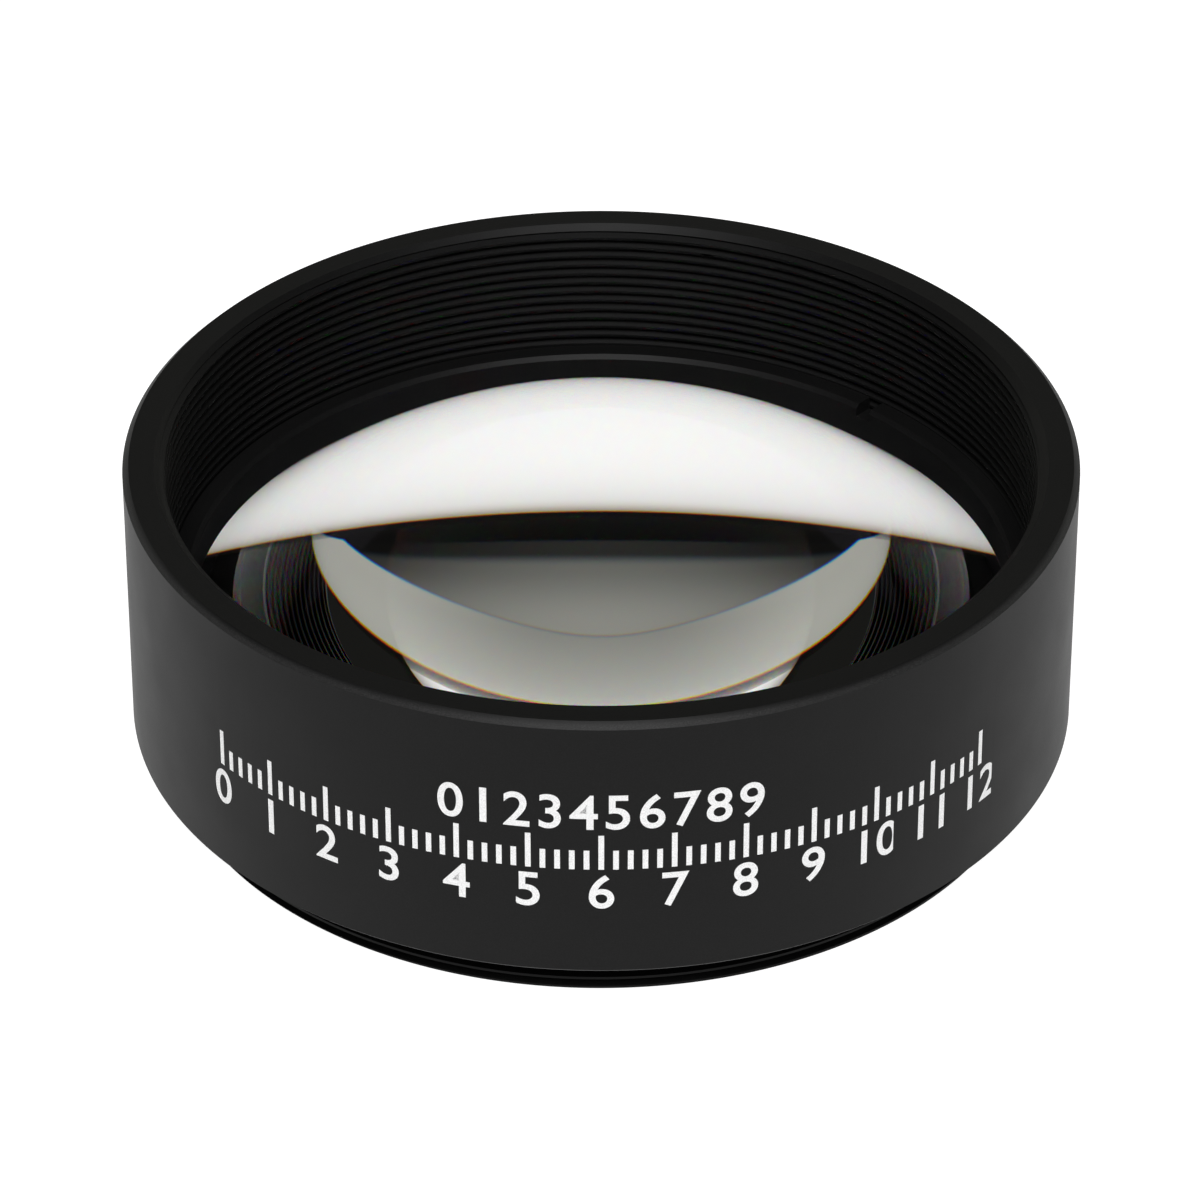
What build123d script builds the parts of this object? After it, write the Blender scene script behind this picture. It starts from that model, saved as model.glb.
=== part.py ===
from build123d import *
import math
import os

# Mounted aspheric lens: a plano-convex asphere in a turned, threaded cell, held down by a
# slotted retaining ring. Millimetres. +Z is the optical axis, towards the convex side, and the
# origin is the centre of the bottom face of the cell's threaded shank.

# Lens
lens_diameter = 50.0
lens_vertex_radius = 31.1
lens_conic = -0.66
lens_edge_thickness = 4.63
lens_edge_bevel = 0.2
dome_arcs = 4

# Cell
lens_fit = 0.05
seat_height = 3.73
seat_width = 1.05
rim_above_lens = 0.80
cell_wall = 2.095
shank_length = 2.84
rim_outer_chamfer = 0.37
shoulder_chamfer = 0.15
aperture_chamfer = 0.3
bore_step_drop = 0.4

# Thread, 2.035 inches and 40 to the inch. The walls are plain here: the inner wall stands at
# the crests of the internal thread, and the shank at the crests of the external one.
thread_pitch = 0.635
thread_depth_ratio = 0.5413
thread_step = 0.451
thread_allowance = 0.02
mouth_lead = 0.245
shank_chamfer = 0.125
relief_width = 0.8
relief_depth = 0.45

# Retaining ring
ring_clearance = 0.03
ring_width = 1.27
ring_height = 2.5
ring_chamfer = 0.25
ring_contact_gap = 0.01
slot_count = 2
slot_width = 1.0
slot_depth = 0.8
slot_angle = 48.4


def sag(radius):
    """Drop of the convex face below its vertex at a radius, by the conic sag formula."""
    root = math.sqrt(1 - (1 + lens_conic) * radius**2 / lens_vertex_radius**2)
    return radius**2 / (lens_vertex_radius * (1 + root))


# Lens places
lens_radius = lens_diameter / 2
edge_height = seat_height + lens_edge_thickness
apex_height = edge_height + sag(lens_radius)


def dome_height(radius):
    """Height of the convex face at a radius."""
    return apex_height - sag(radius)


# Cell places
bore_radius = lens_radius + lens_fit
aperture_radius = bore_radius - seat_width
cell_height = apex_height + rim_above_lens
bore_step_height = edge_height - bore_step_drop

# Thread places
inner_crest_radius = bore_radius + thread_step
inner_root_radius = inner_crest_radius + thread_depth_ratio * thread_pitch
shank_radius = inner_root_radius - thread_allowance
relief_radius = shank_radius - relief_depth
relief_height = shank_length - relief_width
mouth_radius = inner_root_radius + mouth_lead
mouth_depth = mouth_radius - inner_crest_radius
cell_radius = inner_root_radius + cell_wall

# Retaining ring places: the ring bears on the dome where its lower chamfer starts
ring_outer_radius = inner_crest_radius - ring_clearance
ring_inner_radius = ring_outer_radius - ring_width
ring_base = dome_height(ring_inner_radius + ring_chamfer) + ring_contact_gap
ring_top = ring_base + ring_height

# Cell: one turned piece with the clear aperture, the shank, the barrel, the mouth and the seat
with BuildPart() as lens_cell:
    with BuildSketch(Plane.XZ):
        with BuildLine():
            Polyline(
                (aperture_radius + aperture_chamfer, 0),
                (shank_radius - shank_chamfer, 0),
                (shank_radius, shank_chamfer),
                (shank_radius, relief_height - relief_depth),
                (relief_radius, relief_height),
                (relief_radius, shank_length),
                (cell_radius - shoulder_chamfer, shank_length),
                (cell_radius, shank_length + shoulder_chamfer),
                (cell_radius, cell_height - rim_outer_chamfer),
                (cell_radius - rim_outer_chamfer, cell_height),
                (mouth_radius, cell_height),
                (inner_crest_radius, cell_height - mouth_depth),
                (inner_crest_radius, bore_step_height),
                (bore_radius, bore_step_height),
                (bore_radius, seat_height),
                (aperture_radius, seat_height),
                (aperture_radius, aperture_chamfer),
                close=True,
            )
        make_face()
    revolve(axis=Axis.Z)
lens_cell.part.label = "lens_cell"

# Lens: the flat face lies on the seat. The aspheric face is a spherical cap at the vertex, and
# round it arcs through points of its formula, which stay within 0.004 mm of it
dome_step = lens_radius / dome_arcs
cap_radius = (dome_step**2 + sag(dome_step) ** 2) / (2 * sag(dome_step))
with BuildPart() as aspheric_lens:
    with BuildSketch(Plane.XZ):
        with BuildLine():
            Polyline(
                (0, apex_height),
                (0, seat_height),
                (lens_radius - lens_edge_bevel, seat_height),
                (lens_radius, seat_height + lens_edge_bevel),
                (lens_radius, edge_height),
            )
            for arc in range(dome_arcs - 1):
                start = lens_radius - arc * dome_step
                radii = (start, start - dome_step / 2, start - dome_step)
                ThreePointArc(*[(radius, dome_height(radius)) for radius in radii])
            RadiusArc((dome_step, dome_height(dome_step)), (0, apex_height), -cap_radius)
        make_face()
    revolve(axis=Axis.Z)
aspheric_lens.part.label = "aspheric_lens"

# Retaining ring: its lower inner edge bears on the dome, and two slots take the spanner
with BuildPart() as retaining_ring:
    with BuildSketch(Plane.XZ):
        with BuildLine():
            Polyline(
                (ring_inner_radius + ring_chamfer, ring_base),
                (ring_outer_radius, ring_base),
                (ring_outer_radius, ring_top),
                (ring_inner_radius + ring_chamfer, ring_top),
                (ring_inner_radius, ring_top - ring_chamfer),
                (ring_inner_radius, ring_base + ring_chamfer),
                close=True,
            )
        make_face()
    revolve(axis=Axis.Z)
    with BuildSketch(Plane.XY.offset(ring_top)):
        with PolarLocations(ring_outer_radius, slot_count, start_angle=slot_angle):
            Rectangle(2 * ring_width + slot_width, slot_width)
    extrude(amount=-slot_depth, mode=Mode.SUBTRACT)
retaining_ring.part.label = "retaining_ring"

os.makedirs("parts", exist_ok=True)
export_step(lens_cell.part, "parts/lens_cell.step")
export_step(aspheric_lens.part, "parts/aspheric_lens.step")
export_step(retaining_ring.part, "parts/retaining_ring.step")
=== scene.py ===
import logging
import math
from dataclasses import dataclass, field
from enum import Enum
from typing import Any, Callable

import bpy
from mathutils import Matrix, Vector


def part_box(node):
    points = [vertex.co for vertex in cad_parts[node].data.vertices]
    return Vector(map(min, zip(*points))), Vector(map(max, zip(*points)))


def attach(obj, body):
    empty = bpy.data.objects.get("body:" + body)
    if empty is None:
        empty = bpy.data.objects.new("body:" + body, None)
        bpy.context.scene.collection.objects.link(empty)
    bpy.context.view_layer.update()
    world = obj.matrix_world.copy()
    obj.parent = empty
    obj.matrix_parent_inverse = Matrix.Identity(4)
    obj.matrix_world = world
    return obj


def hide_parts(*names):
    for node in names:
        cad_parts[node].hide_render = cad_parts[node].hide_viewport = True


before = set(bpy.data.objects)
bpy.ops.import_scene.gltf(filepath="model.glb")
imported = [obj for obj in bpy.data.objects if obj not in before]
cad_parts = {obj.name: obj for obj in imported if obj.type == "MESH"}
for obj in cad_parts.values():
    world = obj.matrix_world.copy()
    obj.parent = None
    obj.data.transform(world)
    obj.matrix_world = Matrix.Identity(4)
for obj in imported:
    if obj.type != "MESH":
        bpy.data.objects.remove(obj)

Point = tuple[float, float]
Span = tuple[float, float]
Place = tuple[float, float, float]
Colour = tuple[float, float, float, float]

MM = 0.001
FULL_TURN = 2 * math.pi
SEGMENTS = 256
MERGE_DISTANCE = 0.0005 * MM
SMOOTH_ANGLE = math.radians(24)
NOISE_MIDDLE = 0.5

log = logging.getLogger("lens")


class Slot(Enum):
    """The record's material slots."""

    CELL = "cell"
    RING = "ring"
    LENS = "lens"


class Side(Enum):
    """Which way a helical groove is cut into a wall."""

    INTO_BORE = 1
    INTO_SHANK = -1


class Value:
    """A shader socket that does arithmetic: each operator adds its Math nodes."""

    def __init__(self, graph: "Graph", socket: Any) -> None:
        """Wraps an output socket of a graph."""
        self.graph = graph
        self.socket = socket

    def math(self, operation: str, *operands: Any) -> "Value":
        """Adds a Math node.

        Args:
            operation: the node's operation.
            operands: what follows this value in the node's sockets.

        Returns:
            The node's result.
        """
        sockets = {0: self} | dict(enumerate(operands, 1))
        return self.graph.node("ShaderNodeMath", {"operation": operation}, sockets)

    def __add__(self, other: Any) -> "Value":
        """This plus other."""
        return self.math("ADD", other)

    def __radd__(self, other: Any) -> "Value":
        """Other plus this."""
        return self.math("ADD", other)

    def __sub__(self, other: Any) -> "Value":
        """This minus other."""
        return self.math("SUBTRACT", other)

    def __rsub__(self, other: Any) -> "Value":
        """Other minus this."""
        return (self * -1.0).math("ADD", other)

    def __mul__(self, other: Any) -> "Value":
        """This times other."""
        return self.math("MULTIPLY", other)

    def __rmul__(self, other: Any) -> "Value":
        """Other times this."""
        return self.math("MULTIPLY", other)

    def __truediv__(self, other: Any) -> "Value":
        """This over other."""
        return self.math("DIVIDE", other)

    def __pow__(self, other: Any) -> "Value":
        """This to the power of other."""
        return self.math("POWER", other)

    def root(self) -> "Value":
        """The square root of this."""
        return self.math("SQRT")

    def size(self) -> "Value":
        """This without its sign."""
        return self.math("ABSOLUTE")

    def step(self, start: float, end: float, kind: str = "SMOOTHSTEP") -> "Value":
        """Adds a ramp that follows this value.

        Args:
            start: where the ramp is still 0.
            end: where it has reached 1.
            kind: how it runs between the two.

        Returns:
            The ramp, from 0 to 1.
        """
        settings = {"interpolation_type": kind}
        sockets = {"Value": self, "From Min": start, "From Max": end}
        return self.graph.node("ShaderNodeMapRange", settings, sockets)


class Graph:
    """A node tree that is written as expressions."""

    def __init__(self, tree: Any, output: str) -> None:
        """Empties a tree and adds its output node.

        Args:
            tree: the node tree of a material or a world.
            output: the type of its output node.
        """
        tree.nodes.clear()
        self.tree = tree
        self.output = tree.nodes.new(output)

    def node(
        self, kind: str, settings: dict | None = None, sockets: dict | None = None, out: Any = 0
    ) -> Value:
        """Adds a node.

        Args:
            kind: the node's type.
            settings: its properties, set first.
            sockets: values or links of its inputs, by name or number.
            out: the output wanted, by name or number.

        Returns:
            That output.
        """
        made = self.tree.nodes.new(kind)
        for name, value in (settings or {}).items():
            setattr(made, name, value)
        for name, value in (sockets or {}).items():
            if isinstance(value, Value):
                self.tree.links.new(value.socket, made.inputs[name])
            else:
                made.inputs[name].default_value = value
        return Value(self, made.outputs[out])

    def place(self) -> Value:
        """The Object coordinates of the surface, in metres."""
        return self.node("ShaderNodeTexCoord", out="Object")

    def axes(self, vector: Value) -> tuple[Value, Value, Value]:
        """The three parts of a vector."""
        made = self.node("ShaderNodeSeparateXYZ", sockets={0: vector}).socket.node
        return Value(self, made.outputs[0]), Value(self, made.outputs[1]), Value(self, made.outputs[2])

    def vector(self, x: Any, y: Any, z: Any) -> Value:
        """A vector of three parts."""
        return self.node("ShaderNodeCombineXYZ", sockets={0: x, 1: y, 2: z})

    def noise(self, vector: Value, size: float, detail: float = 2.0) -> Value:
        """Noise from 0 to 1 whose grains are about size across."""
        sockets = {"Vector": vector, "Scale": 1 / size, "Detail": detail}
        return self.node("ShaderNodeTexNoise", sockets=sockets)

    def mix(self, share: Any, first: Any, second: Any) -> Value:
        """A colour between two others."""
        settings = {"data_type": "RGBA"}
        return self.node("ShaderNodeMix", settings, {0: share, 6: first, 7: second}, out=2)

    def bump(self, height: Value, depth: float) -> Value:
        """A normal that follows a height, which is counted in depths."""
        sockets = {"Height": height, "Distance": depth, "Strength": 1.0}
        return self.node("ShaderNodeBump", sockets=sockets)

    def blend(self, share: Any, first: Value, second: Value) -> Value:
        """A shader between two others."""
        return self.node("ShaderNodeMixShader", sockets={0: share, 1: first, 2: second})

    def both(self, first: Value, second: Value) -> Value:
        """Two shaders added."""
        return self.node("ShaderNodeAddShader", sockets={0: first, 1: second})

    def finish(self, surface: Value) -> None:
        """Joins a shader to the output."""
        self.tree.links.new(surface.socket, self.output.inputs[0])


def grey(level: float) -> Colour:
    """A neutral colour."""
    return (level, level, level, 1.0)


def new_material(name: str) -> tuple[bpy.types.Material, Graph]:
    """Starts a material.

    Args:
        name: the new material's name.

    Returns:
        The material, with no node but its output, and its graph.
    """
    material = bpy.data.materials.new(name)
    material.use_nodes = True
    return material, Graph(material.node_tree, "ShaderNodeOutputMaterial")


@dataclass(frozen=True)
class AnodisedBlack:
    """Black anodised aluminium with turning marks and a fine satin grain.

    Where rubbed_outer is given, the edge is lightened in specks from rubbed_inner
    outwards and above rubbed_from: partly the black layer worn thin, partly a painted highlight.
    """

    name: str
    shade: float = 0.0045
    index: float = 1.6
    shine: float = 0.10
    roughness: float = 0.50
    roughness_spread: float = 0.10
    cloud_size: float = 4 * MM
    turning_pitch: float = 0.045 * MM
    turning_depth: float = 0.0012 * MM
    grain_size: float = 0.09 * MM
    grain_depth: float = 0.0035 * MM
    grain_shade: float = 0.0025
    grain_span: Span = (0.35, 0.75)
    rubbed_inner: float = 0.0
    rubbed_outer: float = 0.0
    rubbed_from: float = 0.0
    rubbed_fade: float = 0.04 * MM
    rubbed_shade: float = 0.035
    rubbed_least: float = 0.35
    speck_size: float = 0.05 * MM
    speck_span: Span = (0.4, 0.7)

    def rubbed(self, graph: Graph, place: Value, radius: Value, height: Value) -> Value:
        """Says where the edge is lightened: partly the black layer worn thin, partly a painted highlight.

        Args:
            graph: the graph of the material.
            place: the point on the surface.
            radius: its distance from the optical axis.
            height: its height above the shank's end.

        Returns:
            How far it is lightened, from 0 to 1.
        """
        edge = radius.step(self.rubbed_inner, self.rubbed_outer)
        edge = edge * height.step(self.rubbed_from, self.rubbed_from + self.rubbed_fade)
        specks = graph.noise(place, self.speck_size, detail=1.0).step(*self.speck_span)
        return edge * (self.rubbed_least + (1 - self.rubbed_least) * specks)

    def material(self) -> bpy.types.Material:
        """Makes the finish.

        Returns:
            The finish as a material.
        """
        material, graph = new_material(self.name)
        place = graph.place()
        x, y, z = graph.axes(place)
        radius = (x * x + y * y).root()
        turning = graph.noise(graph.vector(radius, 0.0, z), self.turning_pitch, detail=3.0)
        grain = graph.noise(place, self.grain_size)
        cloud = graph.noise(place, self.cloud_size, detail=3.0)
        grain_colour = grey(self.shade + self.grain_shade)
        colour = graph.mix(grain.step(*self.grain_span), grey(self.shade), grain_colour)
        if self.rubbed_outer:
            # Rim chamfer lightened in specks: partly real wear, partly a painted highlight.
            colour = graph.mix(self.rubbed(graph, place, radius, z), colour, grey(self.rubbed_shade))
        roughness = self.roughness + (cloud - NOISE_MIDDLE) * self.roughness_spread
        roughness = roughness + (grain - NOISE_MIDDLE) * self.roughness_spread
        relief = turning * self.turning_depth + grain * self.grain_depth
        shader = graph.node("ShaderNodeBsdfPrincipled", sockets={
            "Base Color": colour,
            "Roughness": roughness,
            "IOR": self.index,
            "Specular IOR Level": self.shine,
            "Normal": graph.bump(relief, 1.0),
        })
        graph.finish(shader)
        return material


@dataclass(frozen=True)
class CoatedGlass:
    """Dense polished glass under a broadband anti-reflection coating.

    A ray leaving the glass is split by colour. The coating keeps reflections faint and violet,
    except where the glass reflects totally.
    """

    name: str
    red_index: float
    blue_index: float
    index: float = 1.79
    coating: float = 0.072
    coating_power: float = 1.0
    reflection: Colour = (0.80, 0.74, 1.0, 1.0)
    clearness: float = 0.82
    warmth: float = 0.985

    def refraction(self, graph: Graph, colour: Colour, index: float) -> Value:
        """Polished refraction of one colour."""
        sockets = {"Color": colour, "Roughness": 0.0, "IOR": index}
        return graph.node("ShaderNodeBsdfRefraction", sockets=sockets)

    def gloss(self, graph: Graph, colour: Colour) -> Value:
        """A mirror of one colour."""
        return graph.node("ShaderNodeBsdfAnisotropic", sockets={"Color": colour, "Roughness": 0.0})

    def material(self) -> bpy.types.Material:
        """Makes the finish.

        Returns:
            The finish as a material.
        """
        material, graph = new_material(self.name)
        bare = graph.node("ShaderNodeFresnel", sockets={"IOR": self.index})
        share = ((bare - self.coating) * (1 / (1 - self.coating))).math("MAXIMUM", 0.0)
        share = share ** self.coating_power
        red = self.refraction(graph, (self.clearness, 0.0, 0.0, 1.0), self.red_index)
        green = self.refraction(graph, (0.0, self.clearness, 0.0, 1.0), self.index)
        blue = self.refraction(graph, (0.0, 0.0, self.clearness * self.warmth, 1.0), self.blue_index)
        split = graph.both(graph.both(red, green), blue)
        leaving = graph.blend(share, split, self.gloss(graph, grey(1.0)))
        unsplit = self.refraction(graph, grey(1.0), self.index)
        entering = graph.blend(share, unsplit, self.gloss(graph, self.reflection))
        inside = graph.node("ShaderNodeNewGeometry", out="Backfacing")
        graph.finish(graph.blend(inside, entering, leaving))
        return material


@dataclass(frozen=True)
class GroundGlass:
    """The fine-ground edge of the lens, which is blackened where it meets the cell."""

    name: str
    shade: float = 0.02
    roughness: float = 0.7
    roughness_spread: float = 0.2
    grain_size: float = 0.05 * MM
    grain_depth: float = 0.004 * MM
    grain_shade: float = 0.04

    def material(self) -> bpy.types.Material:
        """Makes the finish.

        Returns:
            The finish as a material.
        """
        material, graph = new_material(self.name)
        grain = graph.noise(graph.place(), self.grain_size)
        shader = graph.node("ShaderNodeBsdfPrincipled", sockets={
            "Base Color": graph.mix(grain, grey(self.shade), grey(self.grain_shade)),
            "Roughness": self.roughness + grain * self.roughness_spread,
            "Normal": graph.bump(grain, self.grain_depth),
        })
        graph.finish(shader)
        return material


@dataclass(frozen=True)
class LaserMark:
    """Bleached aluminium where a laser took the black layer off."""

    name: str
    shade: float = 0.92
    roughness: float = 0.75
    roughness_spread: float = 0.2
    pit_size: float = 0.06 * MM
    pit_depth: float = 0.006 * MM
    pit_shade: float = 0.70
    pit_span: Span = (0.30, 0.62)

    def material(self) -> bpy.types.Material:
        """Makes the finish.

        Returns:
            The finish as a material.
        """
        material, graph = new_material(self.name)
        pits = graph.noise(graph.place(), self.pit_size, detail=3.0)
        colour = graph.mix(pits.step(*self.pit_span), grey(self.pit_shade), grey(self.shade))
        shader = graph.node("ShaderNodeBsdfPrincipled", sockets={
            "Base Color": colour,
            "Roughness": self.roughness + (pits - NOISE_MIDDLE) * self.roughness_spread,
            "Normal": graph.bump(pits, self.pit_depth),
        })
        graph.finish(shader)
        return material


@dataclass(frozen=True)
class LightTable:
    """A white diffusing sheet lit from below, which can't be seen from below.

    It glows most near the part, less in a ring under the cell's edge, which is painted contact shadow, and
    least far out.
    """

    name: str = "light_table"
    shade: float = 0.3
    roughness: float = 0.8
    cloud_size: float = 60 * MM
    cloud_shade: float = 0.315
    glow: float = 1.0
    far_glow: float = 0.42
    bright_to: float = 0.08
    dim_from: float = 0.15
    under_glow: float = 0.45
    under_from: float = 0.017
    under_to: float = 0.024
    under_fade: float = 1 * MM

    def material(self) -> bpy.types.Material:
        """Makes the finish.

        Returns:
            The finish as a material.
        """
        material, graph = new_material(self.name)
        place = graph.place()
        x, y, _ = graph.axes(place)
        distance = (x * x + y * y).root()
        cloud = graph.noise(place, self.cloud_size)
        # A ring of dimmer glow under the cell's edge: painted contact shadow.
        under = distance.step(self.under_from, self.under_to)
        under = under * (1.0 - distance.step(self.under_to, self.under_to + self.under_fade))
        contact_shadow_share = (1 - self.under_glow) / (1 - self.far_glow)
        dim = distance.step(self.bright_to, self.dim_from) + under * contact_shadow_share
        shader = graph.node("ShaderNodeBsdfPrincipled", sockets={
            "Base Color": graph.mix(cloud, grey(self.shade), grey(self.cloud_shade)),
            "Roughness": self.roughness,
            "Emission Color": graph.mix(dim, grey(1.0), grey(self.far_glow)),
            "Emission Strength": self.glow,
        })
        below = graph.node("ShaderNodeNewGeometry", out="Backfacing")
        clear = graph.node("ShaderNodeBsdfTransparent")
        graph.finish(graph.blend(below, shader, clear))
        return material


@dataclass(frozen=True)
class Backdrop:
    """A pale sheet behind the part, set by direction, in a studio that is dark past its top edge.

    Its lower part lies and its upper part hangs, with a crease along the curved fold between
    them. X is to the right, y away from the camera and z up.
    """

    colour: Colour = (1.0, 1.0, 0.91, 1.0)
    strength: float = 1.1
    least_square: float = 1e-6
    least_depth: float = 0.02
    lying_level: float = 0.45
    lying_fall: float = 0.21
    lying_slopes: Span = (0.08, 0.48)
    aside_span: Span = (0.1, 0.6)
    aside_lift: float = 0.02
    aside_evenness: float = 0.62
    hanging_level: float = 0.265
    hanging_fall: float = 0.13
    hanging_slopes: Span = (0.52, 0.82)
    side_fall: float = 0.78
    side_slopes: Span = (0.0, 0.95)
    top_fall: float = 0.84
    top_slopes: Span = (0.80, 0.87)
    fold_curve: Point = (0.148, 0.0036)
    fold_slope: float = 0.417
    fold_blur: float = 0.004
    crease_width: float = 0.008
    crease_shade: float = 0.25
    edge_slope: float = 0.945
    edge_blur: float = 0.006
    studio_level: float = 0.004
    studio_lift: float = 0.006
    studio_slopes: Span = (1.0, 1.2)
    below_level: float = 0.5
    horizon_blur: float = 0.02

    def lying(self, rise: Value, aside: Value) -> Value:
        """Works out how bright the lying part is.

        Args:
            rise: the slope of a direction above the floor.
            aside: how far it points to a side, from 0 to 1.

        Returns:
            A level that falls upwards, and less so to the sides.
        """
        fall = self.lying_fall * rise.step(*self.lying_slopes, "LINEAR")
        fall = fall * (1.0 - self.aside_evenness * aside)
        return self.lying_level + self.aside_lift * aside - fall

    def hanging(self, upward: Value, sideways: Value) -> Value:
        """Works out how bright the hanging part is.

        Args:
            upward: z over y of a direction.
            sideways: x over y, without its sign.

        Returns:
            A level that falls upwards and sideways, and most of all near the top edge.
        """
        level = self.hanging_level - self.hanging_fall * upward.step(*self.hanging_slopes)
        level = level * (1.0 - self.side_fall * sideways.step(*self.side_slopes))
        return level * (1.0 - self.top_fall * upward.step(*self.top_slopes))

    def level(self, x: Value, y: Value, z: Value) -> Value:
        """Works out how bright a direction is.

        Args:
            x: its part to the right.
            y: its part away from the camera.
            z: its part upwards.

        Returns:
            The level, from 0 to 1.
        """
        rise = z / (x * x + y * y + self.least_square).root()
        depth = y.math("MAXIMUM", self.least_depth)
        upward = z / depth
        lying = self.lying(rise, x.size().step(*self.aside_span))
        hanging = self.hanging(upward, x.size() / depth)
        bow = (x * x * self.fold_curve[0] + y * y * self.fold_curve[1]).root()
        fold = bow + y * self.fold_slope - z
        level = hanging + (lying - hanging) * fold.step(-self.fold_blur, self.fold_blur)
        level = level * (1.0 - self.crease_shade * (1.0 - fold.size().step(0.0, self.crease_width)))
        studio = self.studio_level + self.studio_lift * upward.step(*self.studio_slopes)
        past_edge = (z - y * self.edge_slope).step(-self.edge_blur, self.edge_blur)
        level = level + (studio - level) * past_edge
        return level + (self.below_level - level) * (0.0 - rise).step(-self.horizon_blur, 0.0)

    def world(self) -> bpy.types.World:
        """Makes the backdrop.

        Returns:
            The backdrop as a world.
        """
        world = bpy.data.worlds.new("studio")
        world.use_nodes = True
        graph = Graph(world.node_tree, "ShaderNodeOutputWorld")
        x, y, z = graph.axes(graph.node("ShaderNodeTexCoord", out="Generated"))
        colour = graph.mix(self.level(x, y, z), grey(0.0), self.colour)
        sockets = {"Color": colour, "Strength": self.strength}
        graph.finish(graph.node("ShaderNodeBackground", sockets=sockets))
        return world


def only(piece: bpy.types.Object) -> None:
    """Closes editing and makes one object the whole selection.

    Args:
        piece: the object.
    """
    if bpy.context.mode != "OBJECT":
        bpy.ops.object.mode_set(mode="OBJECT")
    bpy.ops.object.select_all(action="DESELECT")
    piece.select_set(True)
    bpy.context.view_layer.objects.active = piece


def edit(piece: bpy.types.Object) -> None:
    """Opens an object for editing with nothing in it selected.

    Args:
        piece: the object.
    """
    only(piece)
    bpy.ops.object.mode_set(mode="EDIT")
    bpy.ops.mesh.select_all(action="DESELECT")


def settle(piece: bpy.types.Object) -> None:
    """Closes editing and leaves the object at the origin, unturned and unscaled."""
    only(piece)
    bpy.ops.object.transform_apply(location=True, rotation=True, scale=True)


def clean(piece: bpy.types.Object) -> None:
    """Merges doubled points and turns every face outwards.

    Args:
        piece: the object.
    """
    edit(piece)
    bpy.ops.mesh.select_all(action="SELECT")
    bpy.ops.mesh.remove_doubles(threshold=MERGE_DISTANCE)
    bpy.ops.mesh.normals_make_consistent(inside=False)
    settle(piece)


def smooth(piece: bpy.types.Object) -> None:
    """Shades round walls smooth and keeps corners sharp."""
    only(piece)
    bpy.ops.object.shade_smooth_by_angle(angle=SMOOTH_ANGLE)


def dress(piece: bpy.types.Object, *materials: bpy.types.Material) -> None:
    """Gives a piece its materials.

    Args:
        piece: the piece.
        materials: what goes in its slots, the first of them all over.
    """
    piece.data.materials.clear()
    for material in materials:
        piece.data.materials.append(material)


def cover(piece: bpy.types.Object, finish: str, chosen: Callable[[bpy.types.MeshPolygon], bool]) -> None:
    """Gives one of a piece's materials to the faces that are chosen.

    Args:
        piece: the piece, with its materials already in their slots.
        finish: the name of the material.
        chosen: says of a face whether it takes the material.
    """
    edit(piece)
    bpy.ops.object.mode_set(mode="OBJECT")
    for face in piece.data.polygons:
        face.select = chosen(face)
    bpy.ops.object.mode_set(mode="EDIT")
    piece.active_material_index = piece.data.materials.find(finish)
    bpy.ops.object.material_slot_assign()
    settle(piece)


def cut(piece: bpy.types.Object, tool: bpy.types.Object, marking: bool = False) -> None:
    """Takes one solid out of another and removes the tool.

    Args:
        piece: the solid that is cut.
        tool: the solid that is taken out.
        marking: leaves the tool's material on the faces it cuts, and lets it cross itself.
    """
    only(piece)
    modifier = piece.modifiers.new("cut", "BOOLEAN")
    modifier.operation = "DIFFERENCE"
    modifier.solver = "EXACT"
    modifier.material_mode = "TRANSFER" if marking else "INDEX"
    modifier.use_self = marking
    modifier.object = tool
    bpy.ops.object.modifier_apply(modifier=modifier.name)
    bpy.data.objects.remove(tool)


def draw_outline(name: str, outline: list[Point]) -> bpy.types.Object:
    """Draws a chain of edges in the XZ plane, point by point.

    Args:
        name: the new object's name.
        outline: radius and height of each point.

    Returns:
        The object, with its place in its mesh.
    """
    start = outline[0]
    bpy.ops.object.select_all(action="DESELECT")
    bpy.ops.mesh.primitive_plane_add(size=MM, location=(start[0], 0, start[1]))
    piece = bpy.context.object
    piece.name = name
    bpy.ops.object.mode_set(mode="EDIT")
    bpy.ops.mesh.select_all(action="SELECT")
    bpy.ops.mesh.merge(type="CENTER")
    for here, there in zip(outline, outline[1:]):
        move = (there[0] - here[0], 0, there[1] - here[1])
        bpy.ops.mesh.extrude_region_move(TRANSFORM_OT_translate={"value": move})
    settle(piece)
    return piece


def turn(name: str, outline: list[Point]) -> bpy.types.Object:
    """Turns an outline about the optical axis, as on a lathe.

    Args:
        name: the new object's name.
        outline: radius and height of each point, closed or with both ends on the axis.

    Returns:
        The closed solid.
    """
    piece = draw_outline(name, outline)
    edit(piece)
    bpy.ops.mesh.select_all(action="SELECT")
    bpy.ops.mesh.spin(steps=SEGMENTS, angle=FULL_TURN, center=(0, 0, 0), axis=(0, 0, 1))
    clean(piece)
    return piece


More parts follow.
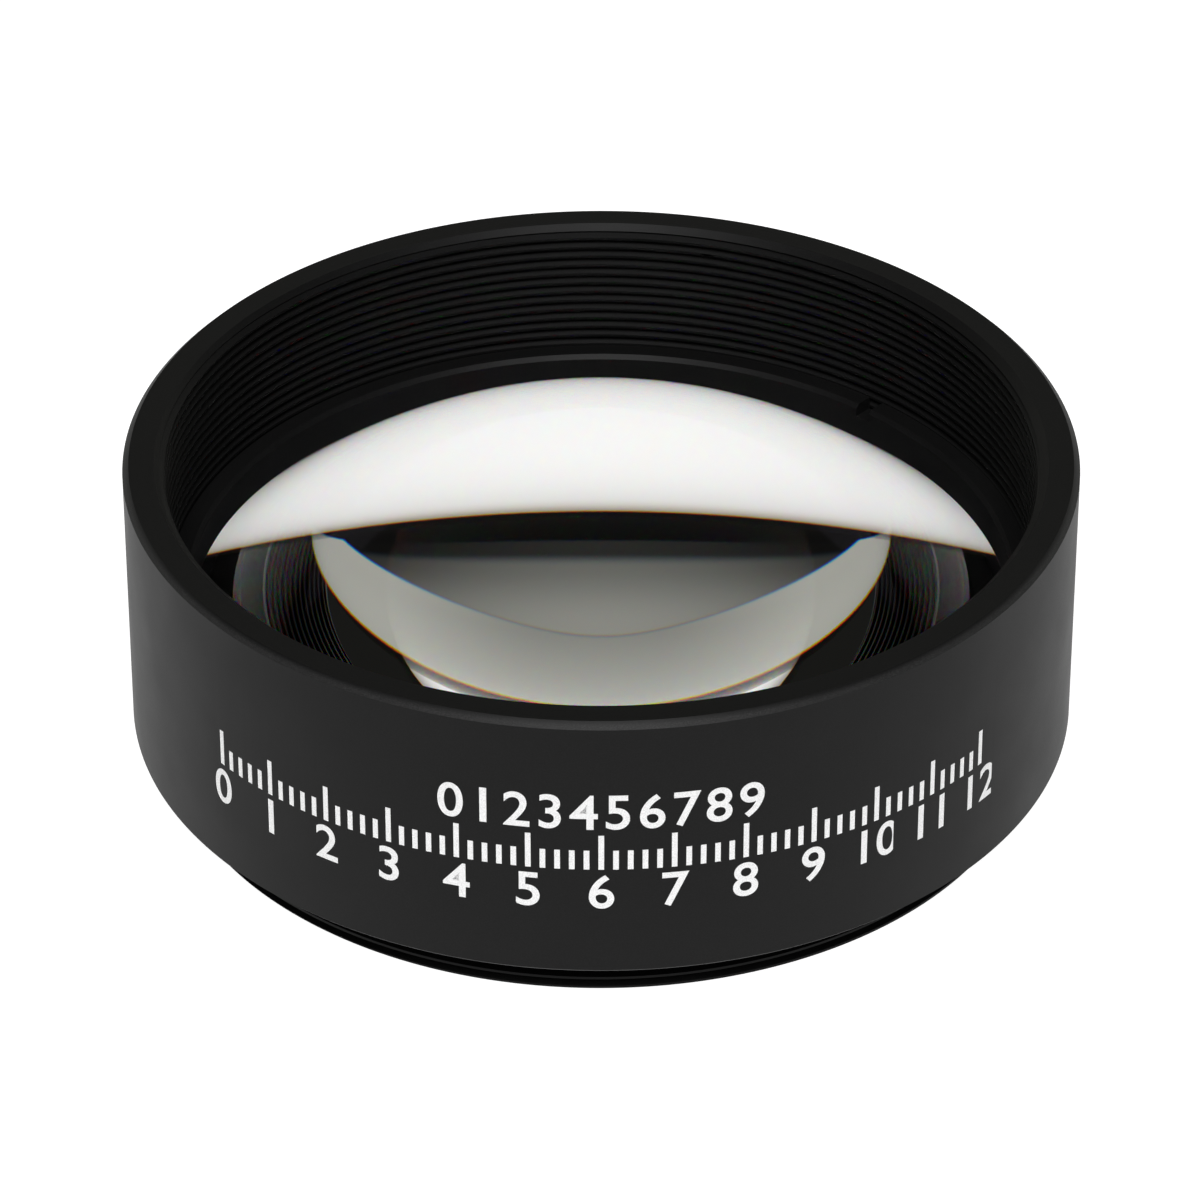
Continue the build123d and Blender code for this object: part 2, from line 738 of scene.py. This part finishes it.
@dataclass
class Thread:
    """A 40 to the inch, 60 degree thread, cut as a true right-handed helix."""

    crest_radius: float
    side: Side
    start: float
    turns: int
    pitch: float = 0.635 * MM
    depth_ratio: float = 0.5413
    root_flat_ratio: float = 1 / 8
    half_angle: float = math.radians(30)
    overshoot: float = 0.12 * MM

    def groove(self) -> list[Point]:
        """Works out the closed outline of one groove.

        Returns:
            Radius and height of each point, from outside the crests down to the flat root.
        """
        depth = self.depth_ratio * self.pitch
        lean = math.tan(self.half_angle)
        half_root = self.pitch * self.root_flat_ratio / 2
        half_crest = half_root + depth * lean
        half_outside = half_crest + self.overshoot * lean
        way = self.side.value
        outside = self.crest_radius - way * self.overshoot
        root = self.crest_radius + way * depth
        corners = [(outside, half_outside), (root, half_root), (root, -half_root), (outside, -half_outside)]
        return [(radius, self.start + rise) for radius, rise in corners + corners[:1]]

    def tool(self, name: str) -> bpy.types.Object:
        """Makes the helical solid that cuts the groove.

        Args:
            name: the new object's name.

        Returns:
            The closed solid.
        """
        piece = draw_outline(name, self.groove())
        clean(piece)
        modifier = piece.modifiers.new("helix", "SCREW")
        modifier.screw_offset = self.pitch
        modifier.iterations = self.turns
        modifier.steps = modifier.render_steps = SEGMENTS
        modifier.use_smooth_shade = False
        bpy.ops.object.modifier_apply(modifier=modifier.name)
        edit(piece)
        bpy.ops.mesh.select_all(action="SELECT")
        bpy.ops.mesh.fill_holes(sides=0)
        bpy.ops.mesh.normals_make_consistent(inside=False)
        settle(piece)
        return piece

    def cut_into(self, piece: bpy.types.Object) -> None:
        """Cuts the groove into a wall."""
        cut(piece, self.tool(piece.name + "_thread_tool"))


@dataclass
class Lens:
    """The plano-convex asphere: a flat face below, a conic above and a ground edge between."""

    vertex_radius: float = 31.1 * MM
    conic: float = -0.66
    edge_bevel: float = 0.2 * MM
    rings: int = 72
    plano_normal: float = -0.9
    edge_normal: float = 0.1
    edge_share: float = 0.995
    radius: float = field(init=False)
    seat: float = field(init=False)
    apex: float = field(init=False)

    def __post_init__(self) -> None:
        """Takes the lens's place from the frame."""
        low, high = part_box("aspheric_lens")
        self.radius, self.seat, self.apex = high.x, low.z, high.z

    def height(self, radius: float) -> float:
        """Height of the convex face at a radius."""
        root = math.sqrt(1 - (1 + self.conic) * (radius / self.vertex_radius) ** 2)
        return self.apex - radius**2 / (self.vertex_radius * (1 + root))

    def is_plano(self, face: bpy.types.MeshPolygon) -> bool:
        """Whether a face looks straight down."""
        return face.normal.z < self.plano_normal

    def is_edge(self, face: bpy.types.MeshPolygon) -> bool:
        """Whether a face is of the edge or its bevel."""
        outermost = math.hypot(face.center.x, face.center.y) > self.radius * self.edge_share
        return outermost and face.normal.z < self.edge_normal

    def build(self) -> bpy.types.Object:
        """Makes the lens, polished but for its ground edge.

        Returns:
            The finished piece.
        """
        dome = [self.radius * ring / self.rings for ring in range(self.rings + 1)]
        outline = [(radius, self.height(radius)) for radius in dome]
        outline += [(self.radius, self.seat + self.edge_bevel), (self.radius - self.edge_bevel, self.seat)]
        outline += [(0.0, self.seat)]
        piece = turn("polished_asphere", outline)
        convex = CoatedGlass("convex_glass", red_index=1.7845, blue_index=1.7965, coating_power=1.4)
        plano = CoatedGlass("plano_glass", red_index=1.7872, blue_index=1.7936)
        edge = GroundGlass("ground_edge")
        dress(piece, convex.material(), plano.material(), edge.material())
        cover(piece, plano.name, self.is_plano)
        cover(piece, edge.name, self.is_edge)
        smooth(piece)
        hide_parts("aspheric_lens")
        return piece


@dataclass
class Scale:
    """A plain graduated scale, laser-marked in shallow pockets round the front of the barrel."""

    radius: float
    depth: float = 0.03 * MM
    figure_height: float = 2.33 * MM
    figure_weight: float = 0.012
    figure_smoothness: int = 8
    font_height: float = 0.7
    tick_width: float = 0.32 * MM
    short_tick: float = 1.3 * MM
    upper_row: float = 12.73 * MM
    middle_row: float = 10.0 * MM
    lower_row: float = 7.3 * MM
    upper_reach: float = math.radians(17.5)
    middle_reach: float = math.radians(50.5)
    lower_reach: float = math.radians(50.5)
    upper_count: int = 10
    lower_count: int = 13
    ticks_between: int = 5

    def spread(self, count: int, reach: float) -> list[float]:
        """The angles of a row's marks, evenly from -reach to reach."""
        return [reach * (2 * number / (count - 1) - 1) for number in range(count)]

    def put(self, piece: bpy.types.Object, angle: float, height: float) -> bpy.types.Object:
        """Stands a flat mark upright against the barrel.

        Args:
            piece: the mark, drawn in the XY plane round the origin.
            angle: its place round the barrel, from the front towards +X.
            height: where its origin stands.

        Returns:
            The same mark.
        """
        piece.location = (self.radius * math.sin(angle), -self.radius * math.cos(angle), height)
        piece.rotation_euler = (math.radians(90), 0.0, angle)
        settle(piece)
        return piece

    def figure(self, text: str, angle: float, height: float) -> bpy.types.Object:
        """Makes the cutter of a number.

        Args:
            text: the number.
            angle: its place round the barrel.
            height: where it stands.

        Returns:
            The closed solid.
        """
        bpy.ops.object.select_all(action="DESELECT")
        bpy.ops.object.text_add(location=(0, 0, 0))
        drawn = bpy.context.object
        drawn.data.body = text
        drawn.data.align_x = "CENTER"
        drawn.data.resolution_u = self.figure_smoothness
        drawn.data.offset = self.figure_weight
        drawn.data.extrude = self.depth / self.figure_height * self.font_height
        bpy.ops.object.convert(target="MESH")
        piece = bpy.context.object
        low = min(point.co.y for point in piece.data.vertices)
        high = max(point.co.y for point in piece.data.vertices)
        scale = self.figure_height / (high - low)
        piece.scale = (scale, scale, scale)
        piece.location = (0, -low * scale, 0)
        settle(piece)
        clean(piece)
        return self.put(piece, angle, height)

    def tick(self, length: float, angle: float, height: float) -> bpy.types.Object:
        """Makes the cutter of a tick.

        Args:
            length: its length, upwards.
            angle: its place round the barrel.
            height: where it stands.

        Returns:
            The closed solid.
        """
        bpy.ops.object.select_all(action="DESELECT")
        bpy.ops.mesh.primitive_cube_add(size=1.0, location=(0, length / 2, 0))
        piece = bpy.context.object
        piece.scale = (self.tick_width, length, 2 * self.depth)
        settle(piece)
        return self.put(piece, angle, height)

    def cutters(self) -> bpy.types.Object:
        """Makes the cutters of all the marks.

        Returns:
            All of them as one object.
        """
        marks = []
        for number, angle in enumerate(self.spread(self.upper_count, self.upper_reach)):
            marks.append(self.figure(str(number), angle, self.upper_row))
        for number, angle in enumerate(self.spread(self.lower_count, self.lower_reach)):
            marks.append(self.figure(str(number), angle, self.lower_row))
        tick_count = (self.lower_count - 1) * self.ticks_between + 1
        for number, angle in enumerate(self.spread(tick_count, self.middle_reach)):
            length = self.short_tick if number % self.ticks_between else self.figure_height
            marks.append(self.tick(length, angle, self.middle_row))
        bpy.ops.object.select_all(action="DESELECT")
        for mark in marks:
            mark.select_set(True)
        bpy.context.view_layer.objects.active = marks[0]
        bpy.ops.object.join()
        piece = bpy.context.object
        dress(piece, LaserMark("laser_mark").material())
        return piece


@dataclass
class Cell:
    """The turned cell: barrel, shoulder, threaded shank, lens seat and threaded mouth."""

    seat: float
    lens_edge: float
    lens_radius: float
    lens_fit: float = 0.05 * MM
    seat_width: float = 1.05 * MM
    shank_length: float = 2.84 * MM
    thread_step: float = 0.451 * MM
    thread_depth: float = 0.3437 * MM
    thread_allowance: float = 0.02 * MM
    mouth_lead: float = 0.245 * MM
    rim_chamfer: float = 0.37 * MM
    shoulder_chamfer: float = 0.15 * MM
    aperture_chamfer: float = 0.3 * MM
    shank_chamfer: float = 0.125 * MM
    relief_width: float = 0.8 * MM
    relief_depth: float = 0.45 * MM
    step_drop: float = 0.4 * MM
    mouth_thread_start: float = 10.312 * MM
    mouth_thread_turns: int = 16
    shank_thread_start: float = -0.604 * MM
    shank_thread_turns: int = 4
    shank_finish_margin: float = 0.01 * MM
    rubbed_outer_share: float = 0.3
    rubbed_height_share: float = 1.05
    radius: float = field(init=False)
    height: float = field(init=False)
    bore: float = field(init=False)
    crest: float = field(init=False)
    root: float = field(init=False)
    mouth: float = field(init=False)
    shank: float = field(init=False)

    def __post_init__(self) -> None:
        """Takes the outside sizes from the frame and works out the rest."""
        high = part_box("lens_cell")[1]
        self.radius, self.height = high.x, high.z
        self.bore = self.lens_radius + self.lens_fit
        self.crest = self.bore + self.thread_step
        self.root = self.crest + self.thread_depth
        self.mouth = self.root + self.mouth_lead
        self.shank = self.root - self.thread_allowance

    def outline(self) -> list[Point]:
        """Works out the closed outline of the cell before its threads are cut.

        Returns:
            Radius and height of each point.
        """
        aperture = self.bore - self.seat_width
        relief = self.shank - self.relief_depth
        relief_height = self.shank_length - self.relief_width
        corners = [
            (aperture + self.aperture_chamfer, 0.0),
            (self.shank - self.shank_chamfer, 0.0),
            (self.shank, self.shank_chamfer),
            (self.shank, relief_height - self.relief_depth),
            (relief, relief_height),
            (relief, self.shank_length),
            (self.radius - self.shoulder_chamfer, self.shank_length),
            (self.radius, self.shank_length + self.shoulder_chamfer),
            (self.radius, self.height - self.rim_chamfer),
            (self.radius - self.rim_chamfer, self.height),
            (self.mouth, self.height),
            (self.crest, self.height - (self.mouth - self.crest)),
            (self.crest, self.lens_edge - self.step_drop),
            (self.bore, self.lens_edge - self.step_drop),
            (self.bore, self.seat),
            (aperture, self.seat),
            (aperture, self.aperture_chamfer),
        ]
        return corners + corners[:1]

    def is_shank(self, face: bpy.types.MeshPolygon) -> bool:
        """Whether a face lies below the shoulder."""
        return face.center.z < self.shank_length - self.shank_finish_margin

    def build(self) -> bpy.types.Object:
        """Turns the cell, cuts both threads and marks the scale.

        Returns:
            The finished piece.
        """
        piece = turn("threaded_cell", self.outline())
        Thread(self.crest, Side.INTO_BORE, self.mouth_thread_start, self.mouth_thread_turns).cut_into(piece)
        Thread(self.shank, Side.INTO_SHANK, self.shank_thread_start, self.shank_thread_turns).cut_into(piece)
        # The rim chamfer's lighter specks are partly real wear, partly a painted highlight.
        barrel = AnodisedBlack(
            "anodised_cell",
            rubbed_inner=self.radius - self.rim_chamfer,
            rubbed_outer=self.radius - self.rubbed_outer_share * self.rim_chamfer,
            rubbed_from=self.height - self.rubbed_height_share * self.rim_chamfer,
        )
        # The shank under the shoulder takes a copy of the finish with less shine: painted shade for the
        # shoulder's shadow.
        shank = AnodisedBlack("anodised_shank_shade", shade=0.005, shine=0.06)
        dress(piece, barrel.material(), shank.material())
        cut(piece, Scale(self.radius).cutters(), marking=True)
        clean(piece)
        cover(piece, shank.name, self.is_shank)
        smooth(piece)
        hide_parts("lens_cell")
        return piece


@dataclass
class RetainingRing:
    """The threaded ring that holds the lens down, with two slots for a spanner."""

    slot_width: float = 1.0 * MM
    slot_depth: float = 0.8 * MM
    slot_angle: float = math.radians(48.4)
    slot_count: int = 2
    width: float = 1.27 * MM
    chamfer: float = 0.25 * MM
    radius: float = field(init=False)
    base: float = field(init=False)
    top: float = field(init=False)

    def __post_init__(self) -> None:
        """Takes the ring's place from the frame."""
        low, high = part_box("retaining_ring")
        self.radius, self.base, self.top = high.x, low.z, high.z

    def outline(self) -> list[Point]:
        """Works out the closed outline of the ring.

        Returns:
            Radius and height of each point.
        """
        inner = self.radius - self.width
        corners = [
            (inner + self.chamfer, self.base),
            (self.radius, self.base),
            (self.radius, self.top),
            (inner + self.chamfer, self.top),
            (inner, self.top - self.chamfer),
            (inner, self.base + self.chamfer),
        ]
        return corners + corners[:1]

    def slot_tool(self, angle: float) -> bpy.types.Object:
        """Makes the block that mills one slot.

        Args:
            angle: the slot's place round the ring, from +X.

        Returns:
            The closed solid.
        """
        length = 2 * self.width + self.slot_width
        bpy.ops.object.select_all(action="DESELECT")
        place = (self.radius * math.cos(angle), self.radius * math.sin(angle), self.top)
        bpy.ops.mesh.primitive_cube_add(size=1.0, location=place, rotation=(0, 0, angle))
        block = bpy.context.object
        block.scale = (length, self.slot_width, 2 * self.slot_depth)
        settle(block)
        return block

    def build(self) -> bpy.types.Object:
        """Turns the ring and mills its slots.

        Returns:
            The finished piece.
        """
        piece = turn("slotted_ring", self.outline())
        for number in range(self.slot_count):
            cut(piece, self.slot_tool(self.slot_angle + number * FULL_TURN / self.slot_count))
        clean(piece)
        smooth(piece)
        dress(piece, AnodisedBlack("anodised_ring").material())
        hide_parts("retaining_ring")
        return piece


@dataclass
class Studio:
    """The pale floor, the backdrop, the soft light and the camera."""

    floor_radius: float = 1.6
    floor_corners: int = 96
    softbox_place: Place = (0.0, -0.75, 1.1)
    softbox_size: float = 0.6
    softbox_power: float = 16.0
    camera_place: Place = (-0.00007, -0.32287, 0.22612)
    camera_tilt: float = math.radians(56.121)
    camera_view: Span = (0.01, 10.0)
    lens_length: float = 196.806
    sensor: float = 36.0

    def build(self) -> None:
        """Makes all of it."""
        self.floor()
        bpy.context.scene.world = Backdrop().world()
        self.key_light()
        self.camera()

    def floor(self) -> None:
        """Lays the light table under the part."""
        bpy.ops.object.select_all(action="DESELECT")
        bpy.ops.mesh.primitive_circle_add(
            vertices=self.floor_corners, radius=self.floor_radius, fill_type="NGON"
        )
        floor = bpy.context.object
        floor.name = "light_table"
        floor.data.materials.append(LightTable().material())

    def key_light(self) -> None:
        """Hangs a softbox above and in front."""
        light = bpy.data.lights.new("softbox", "AREA")
        light.shape = "RECTANGLE"
        light.size = light.size_y = self.softbox_size
        light.energy = self.softbox_power
        lamp = bpy.data.objects.new("softbox", light)
        bpy.context.scene.collection.objects.link(lamp)
        lamp.location = self.softbox_place
        lamp.rotation_euler = Vector(self.softbox_place).to_track_quat("Z", "Y").to_euler()

    def camera(self) -> None:
        """Sets the camera at the photograph's angle."""
        data = bpy.data.cameras.new("camera")
        data.sensor_width = self.sensor
        data.lens = self.lens_length
        data.clip_start, data.clip_end = self.camera_view
        camera = bpy.data.objects.new("camera", data)
        bpy.context.scene.collection.objects.link(camera)
        camera.location = self.camera_place
        camera.rotation_euler = (self.camera_tilt, 0.0, 0.0)
        bpy.context.scene.camera = camera


def show_plainly() -> None:
    """Keeps the render's tones as lit, without a film curve."""
    bpy.context.scene.view_settings.view_transform = "Standard"


def main() -> None:
    """Builds the part, then the studio round it."""
    logging.basicConfig(level=logging.INFO, format="%(message)s")
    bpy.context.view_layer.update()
    lens = Lens()
    cell = Cell(seat=lens.seat, lens_edge=lens.height(lens.radius), lens_radius=lens.radius)
    makers: list[Callable[[], bpy.types.Object]] = [lens.build, cell.build, RetainingRing().build]
    for make in makers:
        piece = make()
        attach(piece, "root")
        log.info("%s: %d faces", piece.name, len(piece.data.polygons))
    Studio().build()
    show_plainly()


if __name__ == "__main__":
    main()
